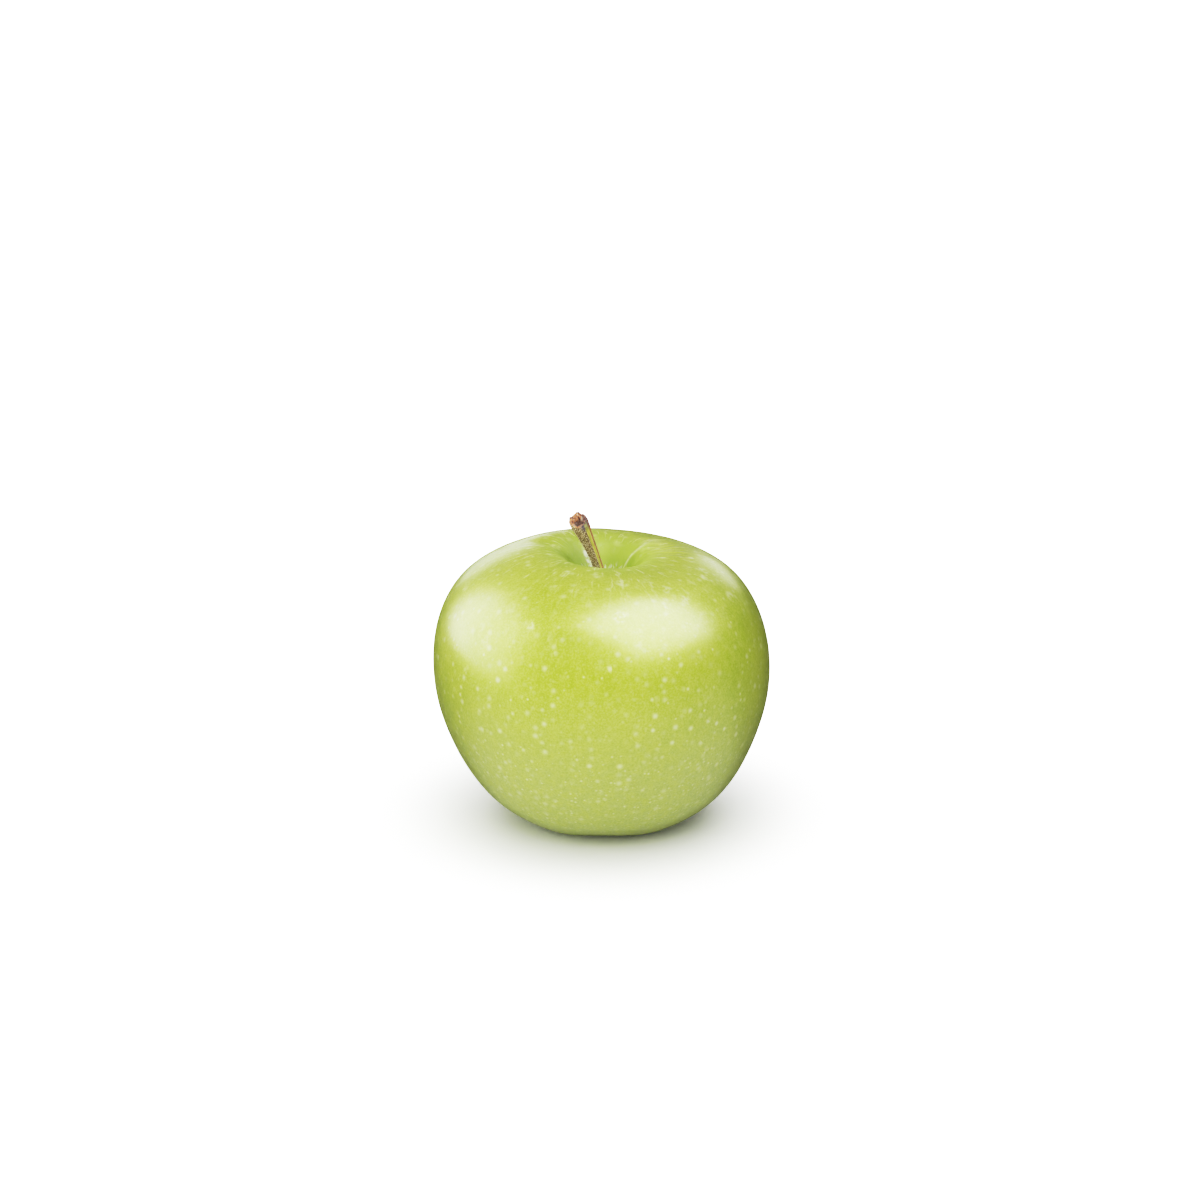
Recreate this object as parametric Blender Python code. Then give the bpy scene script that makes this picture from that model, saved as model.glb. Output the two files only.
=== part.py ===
"""Green apple with its stem and dried calyx, standing on its base.

Metres, +Z up. The origin is the middle of the base, on the surface that the apple stands on, and -Y is
the front. Each piece is one object: fruit, stem, sepal_1 to sepal_5, stamens and styles.
"""

import math

import bmesh
import bpy
import numpy as np
from mathutils import Vector

# Fruit: overall sizes
fruit_diameter = 0.076
fruit_height = 0.0624
widest_height = 0.0356
shoulder_fullness = 2.28  # 2 is an ellipse, more is squarer and less is more pointed
flank_fullness = 1.80

# Fruit: stem cavity and calyx basin
crest_radius = 0.0122
cavity_depth = 0.0120
cavity_throat = (0.28, 0.20)  # shares of the crest's radius and of the depth, up from the floor
cavity_wall = (0.62, 0.76)
cavity_offset = 0.0013  # towards +X, from the leaning axis
base_radius = 0.0139
basin_depth = 0.0062
basin_wall = (0.50, 0.62)  # shares of the base's radius and of the depth

# Fruit: uneven growth
lobe_count = 5
lobe_turn = math.radians(18)
lobe_rise = 0.0006  # how far the base lifts between two lobes
lobe_reach = 0.0083  # how far in and out from the base's ring that lift spreads
lobe_swell = 0.0003  # how far the lower flank draws in between two lobes
flank_lobe_height = 0.0125  # where it draws in most
flank_lobe_reach = 0.0178
foot_width = 0.0030  # of the flat foot on each lobe, from the basin outwards
foot_flat = 0.0002  # how much of each lobe its flat foot takes off
crest_dip = 0.0009  # the crest is lower on one side by twice this
crest_dip_turn = math.radians(-15)
crest_dip_reach = 0.0085
cavity_offset_reach = 0.0195
lean = 0.028  # sideways run of the axis for each metre of height, towards -X at the top

# Stem
stem_length = 0.0200
stem_lean = math.radians(18)
stem_lean_turn = math.radians(190)
stem_waist_radius = 0.0011
stem_foot_radius = 0.0016
stem_tip_radius = 0.0021
stem_cup_depth = 0.0007

# Dried calyx
sepal_count = 5
sepal_tip_height = 0.0009  # above the surface that the apple stands on
sepal_half_width = 0.00105
sepal_thickness = 0.0004
sepal_hollow = 0.2  # how far its edges bend in, as a share of its half width
sepal_root_radius = 0.0030
sepal_waist_radius = 0.0024
sepal_tip_radius = 0.0033
stamen_count = 14
stamen_height = 0.0026
stamen_collar = 0.5  # share of the height that is one collar
stamen_notch = 0.6  # share of the height that the notches between teeth reach down to
stamen_outer_radius = 0.0016
stamen_inner_radius = 0.0011
style_height = 0.0032
style_radius = 0.0006
style_groove = 0.7  # radius in the grooves, as a share of the radius on the ribs

joint_gap = 0.0003  # left between a piece and the one that it grew from

# Mesh fineness
fruit_rows_per_span = 3
fruit_sides = 60
stem_sides = 14
sepal_rows = 8
sharp_angle = math.radians(50)


def clear_scene():
    for old in list(bpy.data.objects):
        bpy.data.objects.remove(old, do_unlink=True)


def make_material(name, colour, roughness):
    material = bpy.data.materials.new(name)
    material.use_nodes = True
    shader = material.node_tree.nodes["Principled BSDF"]
    shader.inputs["Base Color"].default_value = (*colour, 1.0)
    shader.inputs["Roughness"].default_value = roughness
    shader.inputs["Metallic"].default_value = 0.0
    material.diffuse_color = (*colour, 1.0)
    return material


def add_object(name, mesh_builder, material):
    """Turns a bmesh into a smooth-shaded object with its faces pointing out."""
    bmesh.ops.recalc_face_normals(mesh_builder, faces=mesh_builder.faces)
    mesh = bpy.data.meshes.new(name)
    mesh_builder.to_mesh(mesh)
    mesh_builder.free()
    mesh.shade_smooth()
    mesh.set_sharp_from_angle(angle=sharp_angle)
    mesh.materials.append(material)
    piece = bpy.data.objects.new(name, mesh)
    bpy.context.scene.collection.objects.link(piece)
    return piece


def skin_rows(builder, rows, first_pole=None, last_pole=None):
    """Joins closed rows of points into a skin. A pole closes an end, and with no poles the ends join."""
    loops = [[builder.verts.new(point) for point in row] for row in rows]
    sides = len(loops[0])
    pairs = list(zip(loops, loops[1:]))
    if first_pole is None:
        pairs.append((loops[-1], loops[0]))
    for upper, lower in pairs:
        for i in range(sides):
            j = (i + 1) % sides
            builder.faces.new((upper[i], lower[i], lower[j], upper[j]))
    for pole, loop in ((first_pole, loops[0]), (last_pole, loops[-1])):
        if pole is not None:
            tip = builder.verts.new(pole)
            for i in range(sides):
                builder.faces.new((tip, loop[i], loop[(i + 1) % sides]))


# ---------------------------------------------------------------- fruit


def quarter_points(fullness):
    """Two points on a rounded quarter, as (share across, share up), from the top to the side."""
    points = []
    for third in (1, 2):
        angle = third / 3 * math.pi / 2
        points.append((math.sin(angle) ** (2 / fullness), math.cos(angle) ** (2 / fullness)))
    return points


def outline_points():
    """(radius, height) from the cavity's floor, over the crest and down the flank, to the basin's floor."""
    radius = fruit_diameter / 2
    floor = fruit_height - cavity_depth
    points = [(0.0, floor)]
    for across, up in (cavity_throat, cavity_wall):
        points.append((across * crest_radius, floor + up * cavity_depth))
    points.append((crest_radius, fruit_height))
    for across, up in quarter_points(shoulder_fullness):
        points.append(
            (
                crest_radius + (radius - crest_radius) * across,
                widest_height + (fruit_height - widest_height) * up,
            )
        )
    points.append((radius, widest_height))
    for down, across in quarter_points(flank_fullness):
        points.append((base_radius + (radius - base_radius) * across, widest_height * (1 - down)))
    points.append((base_radius + foot_width / 2, 0.0))
    points.append((base_radius - foot_width / 2, 0.0))
    points.append((basin_wall[0] * base_radius, basin_wall[1] * basin_depth))
    points.append((0.0, basin_depth))
    return np.array(points)


def smooth_curve(points, rows_per_span):
    """Samples of the smooth curve through the points that leaves both ends level.

    Its slope and its bend both run on through every point, so the skin shows no crease there.
    """
    steps = np.linalg.norm(np.diff(points, axis=0), axis=1) ** 0.5
    knots = np.concatenate(([0.0], np.cumsum(steps)))
    count = len(points)
    matrix = np.zeros((count, count))
    right = np.zeros((count, 2))
    matrix[0, 0] = matrix[-1, -1] = 1.0
    right[0] = (np.linalg.norm(points[1] - points[0]) / steps[0], 0.0)
    right[-1] = (-np.linalg.norm(points[-1] - points[-2]) / steps[-1], 0.0)
    slopes = np.diff(points, axis=0) / steps[:, None]
    for i in range(1, count - 1):
        before, after = steps[i - 1], steps[i]
        matrix[i, i - 1 : i + 2] = (after, 2 * (before + after), before)
        right[i] = 3 * (after * slopes[i - 1] + before * slopes[i])
    tangents = np.linalg.solve(matrix, right)
    shares = np.linspace(0.0, count - 1, rows_per_span * (count - 1) + 1)
    wanted = np.interp(shares, np.arange(count), knots)
    spans = np.clip(np.searchsorted(knots, wanted, side="right") - 1, 0, count - 2)
    step = steps[spans][:, None]
    share = (wanted - knots[spans])[:, None] / step
    start, end = points[spans], points[spans + 1]
    leave, arrive = tangents[spans] * step, tangents[spans + 1] * step
    return (
        (1 + 2 * share) * (1 - share) ** 2 * start
        + share * (1 - share) ** 2 * leave
        + share**2 * (3 - 2 * share) * end
        + share**2 * (share - 1) * arrive
    )


def near(value, centre, reach):
    """1 at the centre, falling smoothly to almost 0 past the reach."""
    return math.exp(-(((value - centre) / reach) ** 2))


def axis_offset(height):
    """How far the leaning axis stands from the Z axis at a height."""
    return -lean * (height - widest_height)


def fruit_point(radius, height, angle, rim_share):
    """A point of the skin: the turned outline with its lobes, its uneven crest and its lean.

    rim_share is 1 on the upper half of the fruit and 0 on the lower half, and smooth between them.
    """
    lobe = (1 - math.cos(lobe_count * (angle - lobe_turn))) / 2
    at_base = radius / base_radius * near(radius, base_radius, lobe_reach) * (1 - rim_share)
    on_flank = 2 * radius / fruit_diameter * near(height, flank_lobe_height, flank_lobe_reach)
    at_crest = radius / crest_radius * near(radius, crest_radius, crest_dip_reach) * rim_share
    height = height + (lobe_rise * lobe - foot_flat) * at_base
    height = height + crest_dip * math.cos(angle - crest_dip_turn + math.pi) * at_crest
    radius = radius - lobe_swell * lobe * on_flank
    in_cavity = near(radius, 0.0, cavity_offset_reach) * rim_share
    x = axis_offset(height) + cavity_offset * in_cavity + radius * math.cos(angle)
    return Vector((x, radius * math.sin(angle), max(height, 0.0)))


def build_fruit(outline):
    builder = bmesh.new()
    rows = []
    for radius, height in outline[1:-1]:
        rim_share = 1 / (1 + math.exp(-(height - 0.5 * fruit_height) / (0.05 * fruit_height)))
        angles = (2 * math.pi * i / fruit_sides for i in range(fruit_sides))
        rows.append([fruit_point(radius, height, angle, rim_share) for angle in angles])
    top, bottom = outline[0][1], outline[-1][1]
    poles = ((axis_offset(top) + cavity_offset, 0, top), (axis_offset(bottom), 0, bottom))
    skin_rows(builder, rows, *poles)
    skin = make_material("apple_skin", (0.42, 0.55, 0.09), 0.32)
    return add_object("fruit", builder, skin)


def height_at(outline, radius):
    """Height of the outline where it first reaches a radius, counted from its first point."""
    radii, heights = outline[:, 0], outline[:, 1]
    end = int(np.argmax(radii >= radius))
    share = (radius - radii[end - 1]) / (radii[end] - radii[end - 1])
    return heights[end - 1] + share * (heights[end] - heights[end - 1])


# ---------------------------------------------------------------- stem


def stem_outline():
    """(share of the length, radius) up the outside, over the torn rim and down into its cup."""
    cup_share = stem_cup_depth / stem_length
    return [
        (0.0, 0.5 * stem_foot_radius),
        (0.04, stem_foot_radius),
        (0.14, 0.45 * stem_foot_radius + 0.55 * stem_waist_radius),
        (0.35, stem_waist_radius),
        (0.60, 1.15 * stem_waist_radius),
        (0.80, 0.45 * stem_waist_radius + 0.50 * stem_tip_radius),
        (0.92, 0.95 * stem_tip_radius),
        (0.97, stem_tip_radius),
        (1.0, 0.92 * stem_tip_radius),
        (1.0, 0.62 * stem_tip_radius),
        (1.0 - cup_share, 0.42 * stem_tip_radius),
    ]


def build_stem(outline):
    # The rounded foot goes down until the first of its rows is one gap from the cavity's wall.
    wall_heights = [
        height_at(outline, radius) - share * stem_length
        for share, radius in stem_outline()[:2]
    ]
    foot_height = max(wall_heights) + joint_gap
    foot = Vector((axis_offset(foot_height) + cavity_offset, 0, foot_height))
    tip = foot + stem_length * Vector(
        (
            math.sin(stem_lean) * math.cos(stem_lean_turn),
            math.sin(stem_lean) * math.sin(stem_lean_turn),
            math.cos(stem_lean),
        )
    )
    bend = foot + Vector((0, 0, 0.3 * stem_length))

    def centre(share):
        return (1 - share) ** 2 * foot + 2 * share * (1 - share) * bend + share**2 * tip

    def row(share, radius):
        along = ((1 - share) * (bend - foot) + share * (tip - bend)).normalized()
        side = Vector((0, 1, 0)).cross(along).normalized()
        front = along.cross(side)
        points = []
        for i in range(stem_sides):
            angle = 2 * math.pi * i / stem_sides
            points.append(centre(share) + radius * (math.cos(angle) * side + math.sin(angle) * front))
        return points

    builder = bmesh.new()
    rows = [row(share, radius) for share, radius in stem_outline()]
    skin_rows(builder, rows, centre(0.0), centre(1.0 - stem_cup_depth / stem_length))
    bark = make_material("stem_bark", (0.19, 0.13, 0.06), 0.75)
    return add_object("stem", builder, bark)


# ---------------------------------------------------------------- dried calyx


def build_sepal(number, root_height, material):
    """One pointed sepal, standing down into the basin, drawn in at its waist and curled out at its tip."""
    builder = bmesh.new()
    angle = 2 * math.pi * (number - 1) / sepal_count
    outward = Vector((math.cos(angle), math.sin(angle), 0))
    sideways = Vector((-math.sin(angle), math.cos(angle), 0))
    root = Vector((axis_offset(root_height), 0, root_height))
    down = Vector((0, 0, sepal_tip_height - root_height))
    rows = []
    for step in range(sepal_rows):
        share = step / sepal_rows
        drawn_in = math.sin(math.pi * share)
        radius = (1 - share) * sepal_root_radius + share * sepal_tip_radius
        radius -= drawn_in * ((sepal_root_radius + sepal_tip_radius) / 2 - sepal_waist_radius)
        middle = root + outward * radius + share * down
        half = sepal_half_width * (1 - share**2)
        hollow = outward * sepal_hollow * half
        row = (middle - half * sideways - hollow, middle, middle + half * sideways - hollow)
        rows.append([builder.verts.new(point) for point in row])
    tip = builder.verts.new(root + outward * sepal_tip_radius + down)
    for upper, lower in zip(rows, rows[1:]):
        for i in range(2):
            builder.faces.new((upper[i], upper[i + 1], lower[i + 1], lower[i]))
    for i in range(2):
        builder.faces.new((rows[-1][i], rows[-1][i + 1], tip))
    sepal = add_object(f"sepal_{number}", builder, material)
    solid = sepal.modifiers.new("thickness", "SOLIDIFY")
    solid.thickness = sepal_thickness
    solid.offset = 0.0
    return sepal


def ring(centre_x, radii, heights):
    """A closed row of points round the calyx, with a radius and a height for each."""
    points = []
    for i, (radius, height) in enumerate(zip(radii, heights)):
        angle = 2 * math.pi * i / len(radii)
        points.append(Vector((centre_x + radius * math.cos(angle), radius * math.sin(angle), height)))
    return points


def build_stamens(root_height, material):
    """The withered filaments as one crown: a collar whose free edge is cut into teeth."""
    centre_x = axis_offset(root_height)
    sides = 2 * stamen_count
    collar_edge = root_height - stamen_collar * stamen_height
    tooth_tips = [root_height - stamen_notch * stamen_height, root_height - stamen_height] * stamen_count
    middle_radius = (stamen_inner_radius + stamen_outer_radius) / 2
    rows = [
        ring(centre_x, [stamen_inner_radius] * sides, [root_height] * sides),
        ring(centre_x, [stamen_outer_radius] * sides, [root_height] * sides),
        ring(centre_x, [stamen_outer_radius] * sides, [collar_edge] * sides),
        ring(centre_x, [middle_radius] * sides, tooth_tips),
        ring(centre_x, [stamen_inner_radius] * sides, [collar_edge] * sides),
    ]
    builder = bmesh.new()
    skin_rows(builder, rows)
    return add_object("stamens", builder, material)


def build_styles(root_height, material):
    """Five withered styles grown together: a slim spindle with five ribs."""
    centre_x = axis_offset(root_height)
    rows = []
    for share, swell in ((0.0, 1.0), (0.5, 0.75), (0.85, 0.8), (1.0, 0.5)):
        radii = [swell * style_radius, swell * style_groove * style_radius] * lobe_count
        rows.append(ring(centre_x, radii, [root_height - share * style_height] * len(radii)))
    builder = bmesh.new()
    ends = [Vector((centre_x, 0, row[0].z)) for row in (rows[0], rows[-1])]
    skin_rows(builder, rows, *ends)
    return add_object("styles", builder, material)


def build_calyx(outline):
    from_basin = outline[::-1]
    dried = make_material("dried_sepal", (0.24, 0.20, 0.13), 0.85)
    withered = make_material("withered_filament", (0.16, 0.09, 0.05), 0.85)
    sepal_reach = sepal_root_radius + sepal_thickness
    sepal_root = height_at(from_basin, sepal_reach) - joint_gap
    for number in range(1, sepal_count + 1):
        build_sepal(number, sepal_root, dried)
    build_stamens(height_at(from_basin, stamen_outer_radius) - joint_gap, withered)
    build_styles(height_at(from_basin, style_radius) - joint_gap, withered)


clear_scene()
fruit_outline = smooth_curve(outline_points(), fruit_rows_per_span)
build_fruit(fruit_outline)
build_stem(fruit_outline)
build_calyx(fruit_outline)
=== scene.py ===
"""Green apple with its stem and dried calyx, standing on its base on a pale studio floor.

Metres, +Z up, -Y is the front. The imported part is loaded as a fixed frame. Each piece here stands
for the solid of the same name: the same outline, with the detail that a quick solid leaves out.
"""

import math
import random

import bpy
import numpy as np
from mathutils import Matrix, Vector, noise


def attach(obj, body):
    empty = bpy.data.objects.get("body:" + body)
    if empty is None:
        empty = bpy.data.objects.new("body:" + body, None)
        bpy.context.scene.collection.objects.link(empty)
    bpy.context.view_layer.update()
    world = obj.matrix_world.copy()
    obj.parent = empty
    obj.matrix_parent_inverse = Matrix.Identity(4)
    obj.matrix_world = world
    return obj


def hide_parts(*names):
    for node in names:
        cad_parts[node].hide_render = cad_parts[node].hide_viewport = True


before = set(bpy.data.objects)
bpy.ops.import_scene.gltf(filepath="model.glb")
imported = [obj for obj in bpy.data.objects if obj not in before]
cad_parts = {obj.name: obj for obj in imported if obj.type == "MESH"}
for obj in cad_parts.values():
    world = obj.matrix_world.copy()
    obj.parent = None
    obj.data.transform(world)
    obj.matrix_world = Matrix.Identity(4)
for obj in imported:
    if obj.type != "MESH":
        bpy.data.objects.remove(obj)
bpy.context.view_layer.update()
scene = bpy.context.scene


# ------------------------------------------------------------ camera
# A long lens looks a little down on the apple from the front, far enough off to leave its outline
# nearly free of perspective.

look_at = Vector((-0.0003, 0.0, 0.0510))
camera_height_angle = math.radians(18)
camera_distance = 0.748

lens = bpy.data.cameras.new("camera")
lens.lens = 100  # mm, as the sensor's width is
lens.sensor_width = 36
lens.clip_start = 0.01
camera = bpy.data.objects.new("camera", lens)
towards_camera = Vector((0, -math.cos(camera_height_angle), math.sin(camera_height_angle)))
camera.location = look_at + camera_distance * towards_camera
camera.rotation_euler = (math.pi / 2 - camera_height_angle, 0, 0)
scene.collection.objects.link(camera)
scene.camera = camera

# The tone of every view: shades deepen a little and highlights roll off softly. The curve's
# points are (light that comes in, brightness that shows)
brightest = 3.0
tone_curve = ((0.1, 0.058), (0.2, 0.135), (0.3, 0.225), (0.4, 0.32), (0.6, 0.50), (0.8, 0.62))
tone_curve += ((1.0, 0.71), (1.5, 0.845), (2.2, 0.95))
tone = scene.view_settings
tone.view_transform = "Standard"
tone.use_curve_mapping = True
curve = tone.curve_mapping
curve.white_level = (brightest, brightest, brightest)
for light, shown in tone_curve:
    curve.curves[3].points.new(light / brightest, shown)
curve.update()


# ------------------------------------------------------------ studio
# A seamless white table under the apple. Large softboxes at the sides and behind give the skin its
# reflections, dim fills in front, above and behind light its shadows, and the walls of the room
# give back a little light from all round.

floor_half_width = 3.0
floor_drop = 0.00005  # so that the apple's feet and the floor don't share one plane
table_light = (0.016, 0.075, 0.0, 3.0)  # distances from the axis, and its own light there
# From behind the apple to in front of it, and the share of its light that the table gives back
table_glow = (0.045, -0.020, 0.05, 0.85)
table_shine = (0.015, -0.035, 0.03, 0.85)  # the same for what the skin mirrors
wall_at_floor = (0.05, 0.06, 0.04, 1.0)
wall_above = (0.22, 0.22, 0.22, 1.0)
lamp_colour = (0.97, 0.98, 1.0)
lamp_target = Vector((0, 0, 0.045))


def add_node(tree, kind, inputs=None, **settings):
    """A shader node, with its settings. An input is a value or the output that it is linked to."""
    node = tree.nodes.new(kind)
    for name, value in settings.items():
        setattr(node, name, value)
    for name, value in (inputs or {}).items():
        if isinstance(value, bpy.types.NodeSocket):
            tree.links.new(value, node.inputs[name])
        else:
            node.inputs[name].default_value = value
    return node


def paint(code):
    """A colour for a shader from its six-figure screen code."""
    shares = [int(code[i : i + 2], 16) / 255 for i in (0, 2, 4)]
    linear = [s / 12.92 if s <= 0.04045 else ((s + 0.055) / 1.055) ** 2.4 for s in shares]
    return (*linear, 1.0)


def maths(tree, operation, first, second=0.0):
    """The result of one sum on two values or outputs."""
    node = add_node(tree, "ShaderNodeMath", {0: first, 1: second}, operation=operation)
    return node.outputs[0]


def times(tree, first, second):
    """Two values or outputs multiplied."""
    return maths(tree, "MULTIPLY", first, second)


def between(tree, value, low, high, start=0.0, end=1.0):
    """Goes smoothly from start to end as the value goes from low to high; level past both."""
    inputs = {"Value": value, "From Min": low, "From Max": high, "To Min": start, "To Max": end}
    node = add_node(tree, "ShaderNodeMapRange", inputs, interpolation_type="SMOOTHSTEP")
    return node.outputs["Result"]


def mixed(tree, share, first, second):
    """Two colours mixed, the second by the share."""
    inputs = {0: share, 6: first, 7: second}  # a Mix node's sockets for colours
    return add_node(tree, "ShaderNodeMix", inputs, data_type="RGBA").outputs[2]


def axis_part(tree, vector, axis):
    """One of the three values of a vector."""
    return add_node(tree, "ShaderNodeSeparateXYZ", {0: vector}).outputs[axis]


def new_material(name, settings=None):
    """A material with its node tree and its Principled shader, which takes the settings."""
    material = bpy.data.materials.new(name)
    material.use_nodes = True
    shader = material.node_tree.nodes["Principled BSDF"]
    for socket, value in (settings or {}).items():
        shader.inputs[socket].default_value = value
    return material, material.node_tree, shader


def hang(
    name, turn, rise, distance, width, height, radiance, fade=0.0, shine=True, shade=True
):
    """A soft rectangular light that faces the apple.

    Its turn from the front to the right and its rise are in degrees. Fade is the share of its width
    over which it dims towards each edge. Without shine it gives no reflection, and without shade
    nothing but one.
    """
    light = bpy.data.lights.new(name, "AREA")
    light.shape = "RECTANGLE"
    light.size, light.size_y = width, height
    light.energy = radiance * math.pi * width * height
    light.color = lamp_colour
    if fade:
        light.use_nodes = True
        tree = light.node_tree
        place = add_node(tree, "ShaderNodeNewGeometry").outputs["Parametric"]
        shares = []
        for axis in "XY":
            off_centre = maths(tree, "SUBTRACT", axis_part(tree, place, axis), 0.5)
            off_centre = maths(tree, "ABSOLUTE", off_centre)
            shares.append(between(tree, off_centre, 0.5 - fade, 0.5, 1.0, 0.0))
        tree.links.new(times(tree, *shares), tree.nodes["Emission"].inputs["Strength"])
    holder = bpy.data.objects.new(name, light)
    turn, rise = math.radians(turn), math.radians(rise)
    away = Vector(
        (math.sin(turn) * math.cos(rise), -math.cos(turn) * math.cos(rise), math.sin(rise))
    )
    holder.location = lamp_target + distance * away
    holder.rotation_euler = (-away).to_track_quat("-Z", "Y").to_euler()
    holder.visible_camera = False
    holder.visible_glossy, holder.visible_diffuse = shine, shade
    scene.collection.objects.link(holder)


corners = [(-1, -1), (1, -1), (1, 1), (-1, 1)]
floor_points = [(x * floor_half_width, y * floor_half_width, -floor_drop) for x, y in corners]
floor_mesh = bpy.data.meshes.new("floor")
floor_mesh.from_pydata(floor_points, [], [(0, 1, 2, 3)])
floor = bpy.data.objects.new("floor", floor_mesh)
scene.collection.objects.link(floor)
own_white = {"Emission Color": (1.0, 1.0, 1.0, 1.0), "Roughness": 0.6, "Specular IOR Level": 0.0}
tabletop, tree, shader = new_material("white_table", own_white)
floor_mesh.materials.append(tabletop)
cloudy = add_node(tree, "ShaderNodeTexNoise", {"Scale": 40.0, "Detail": 3.0}).outputs["Fac"]
table_colour = mixed(tree, cloudy, paint("f3f3f1"), paint("f6f6f5"))
tree.links.new(table_colour, shader.inputs["Base Color"])
# Away from the apple the table has a light of its own, so that it stays white right to the back
place = add_node(tree, "ShaderNodeTexCoord").outputs["Object"]
away = add_node(tree, "ShaderNodeVectorMath", {0: place}, operation="LENGTH").outputs["Value"]
tree.links.new(between(tree, away, *table_light), shader.inputs["Emission Strength"])
# What the apple gets back from the table comes from in front: behind it the table is in the shade
ray = add_node(tree, "ShaderNodeLightPath").outputs
to_front = axis_part(tree, place, "Y")
glow = between(tree, to_front, *table_glow)
mirrored_glow = between(tree, to_front, *table_shine)
glow = between(tree, ray["Is Glossy Ray"], 0.0, 1.0, glow, mirrored_glow)
grey = add_node(tree, "ShaderNodeCombineXYZ", {0: glow, 1: glow, 2: glow}).outputs[0]
given_back = add_node(tree, "ShaderNodeBsdfDiffuse", {"Color": grey}).outputs[0]
table_mix = add_node(tree, "ShaderNodeMixShader", {0: ray["Is Camera Ray"], 1: given_back})
tree.links.new(shader.outputs[0], table_mix.inputs[2])
tree.links.new(table_mix.outputs[0], tree.nodes["Material Output"].inputs["Surface"])

room = bpy.data.worlds.new("room")
room.use_nodes = True
scene.world = room
tree = room.node_tree
direction = add_node(tree, "ShaderNodeTexCoord").outputs["Generated"]
up = axis_part(tree, direction, "Z")
wall = mixed(tree, between(tree, up, 0.0, 0.8), wall_at_floor, wall_above)
seen_directly = add_node(tree, "ShaderNodeLightPath").outputs["Is Camera Ray"]
room_colour = mixed(tree, seen_directly, wall, (brightest, brightest, brightest, 1.0))
tree.links.new(room_colour, tree.nodes["Background"].inputs["Color"])

# Name, turn, rise, distance, width, height and radiance
hang("softbox_right", 61, 58, 0.9, 1.50, 1.42, 12.0, fade=0.22, shade=False)
hang("softbox_left", -98, 17, 0.9, 1.80, 1.80, 7.8, fade=0.32, shade=False)
hang("softbox_rear", -166, 8, 0.9, 0.50, 0.36, 2.4, fade=0.25, shade=False)
hang("rim_right", 160, 12, 1.3, 0.60, 0.40, 2.8, fade=0.25, shade=False)
hang("fill_left", -44, 24, 1.3, 1.2, 1.0, 2.7, shine=False)
hang("fill_right", 17, 28, 1.3, 1.2, 1.0, 1.95, shine=False)
hang("fill_top", 0, 74, 1.3, 1.5, 1.5, 1.6, shine=False)
hang("fill_back", 180, 35, 1.3, 1.5, 0.9, 2.6, shine=False)


# ------------------------------------------------------------ fruit
# The fleshy body, grown as one piece round the core: five soft lobes at the base, a deep cavity
# round the stem and a ribbed basin underneath. Its waxed skin is lime green, with pale breathing
# spots and faint streaks that run from the stem to the base.

fruit_diameter = 0.076
fruit_height = 0.0624
widest_height = 0.0356
shoulder_fullness = 2.28  # 2 is an ellipse, more is squarer and less is more pointed
flank_fullness = 1.80
crest_radius = 0.0122
cavity_depth = 0.0120
cavity_throat = (0.28, 0.20)  # shares of the crest's radius and of the depth, up from the floor
cavity_wall = (0.62, 0.76)
cavity_offset = 0.0013  # towards +X, from the leaning axis
base_radius = 0.0139
basin_depth = 0.0062
basin_wall = (0.50, 0.62)  # shares of the base's radius and of the depth
lobe_count = 5
lobe_turn = math.radians(18)
lobe_rise = 0.0006  # how far the base lifts between two lobes
lobe_reach = 0.0083
lobe_swell = 0.0003  # how far the lower flank draws in between two lobes
flank_lobe_height = 0.0125
flank_lobe_reach = 0.0178
foot_width = 0.0030  # of the flat foot on each lobe
foot_flat = 0.0002
crest_dip = 0.0009  # the crest is lower on one side by twice this
crest_dip_turn = math.radians(-15)
crest_dip_reach = 0.0085
cavity_offset_reach = 0.0195
lean = 0.028  # sideways run of the axis for each metre of height, towards -X at the top

# Marks of its growth. A turn is in degrees from +X, by way of the back, and a radius is from the
# axis. A mark fades over its spread to each side of its turn, and over its reach from its radius
swell_rise, grain_rise = 0.00011, 0.00002
pleats_rise, pleats_turn, pleats_spread = 0.00015, 18, 38
pleats_radius, pleats_reach = 0.0145, 0.0065
ridge_rise, ridge_turn, ridge_spread = 0.00010, 20, 20
ridge_radius, ridge_reach = 0.0150, 0.0042
ridge_spacing = math.radians(6.5)
fold_radii, fold_turns = (0.005, 0.0098, 0.018), (44, 33, 46)  # the sharp fold bends in its middle
fold_rise, fold_spread, fold_edge_spread = 0.00038, 6, 2.0
fold_inner, fold_outer = (0.002, 0.006), (0.014, 0.020)  # radii where it comes up and dies out
fold_edge_inner, fold_edge_outer = (0.004, 0.006), (0.012, 0.019)
furrow_depth, furrow_spread, furrow_apart = 0.00055, 12, 17
valley_depth, valley_turn, valley_spread = 0.00065, 160, 11
valley_radius, valley_reach = 0.0130, 0.0060
scurf_turn, scurf_spread = 119, 6.5
scurf_radius, scurf_reach = 0.0073, 0.0014
collar_rise, collar_radius, collar_reach = 0.00045, 0.0023, 0.0008
rib_rise, rib_radius, rib_reach = 0.00045, 0.006, 0.0038
even_rib_rise = 0.00025

fruit_rows_per_span = 17
fruit_sides = 320


def quarter_points(fullness):
    """Two points on a rounded quarter, as (share across, share up), from the top to the side."""
    thirds = [third / 3 * math.pi / 2 for third in (1, 2)]
    return [(math.sin(t) ** (2 / fullness), math.cos(t) ** (2 / fullness)) for t in thirds]


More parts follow.
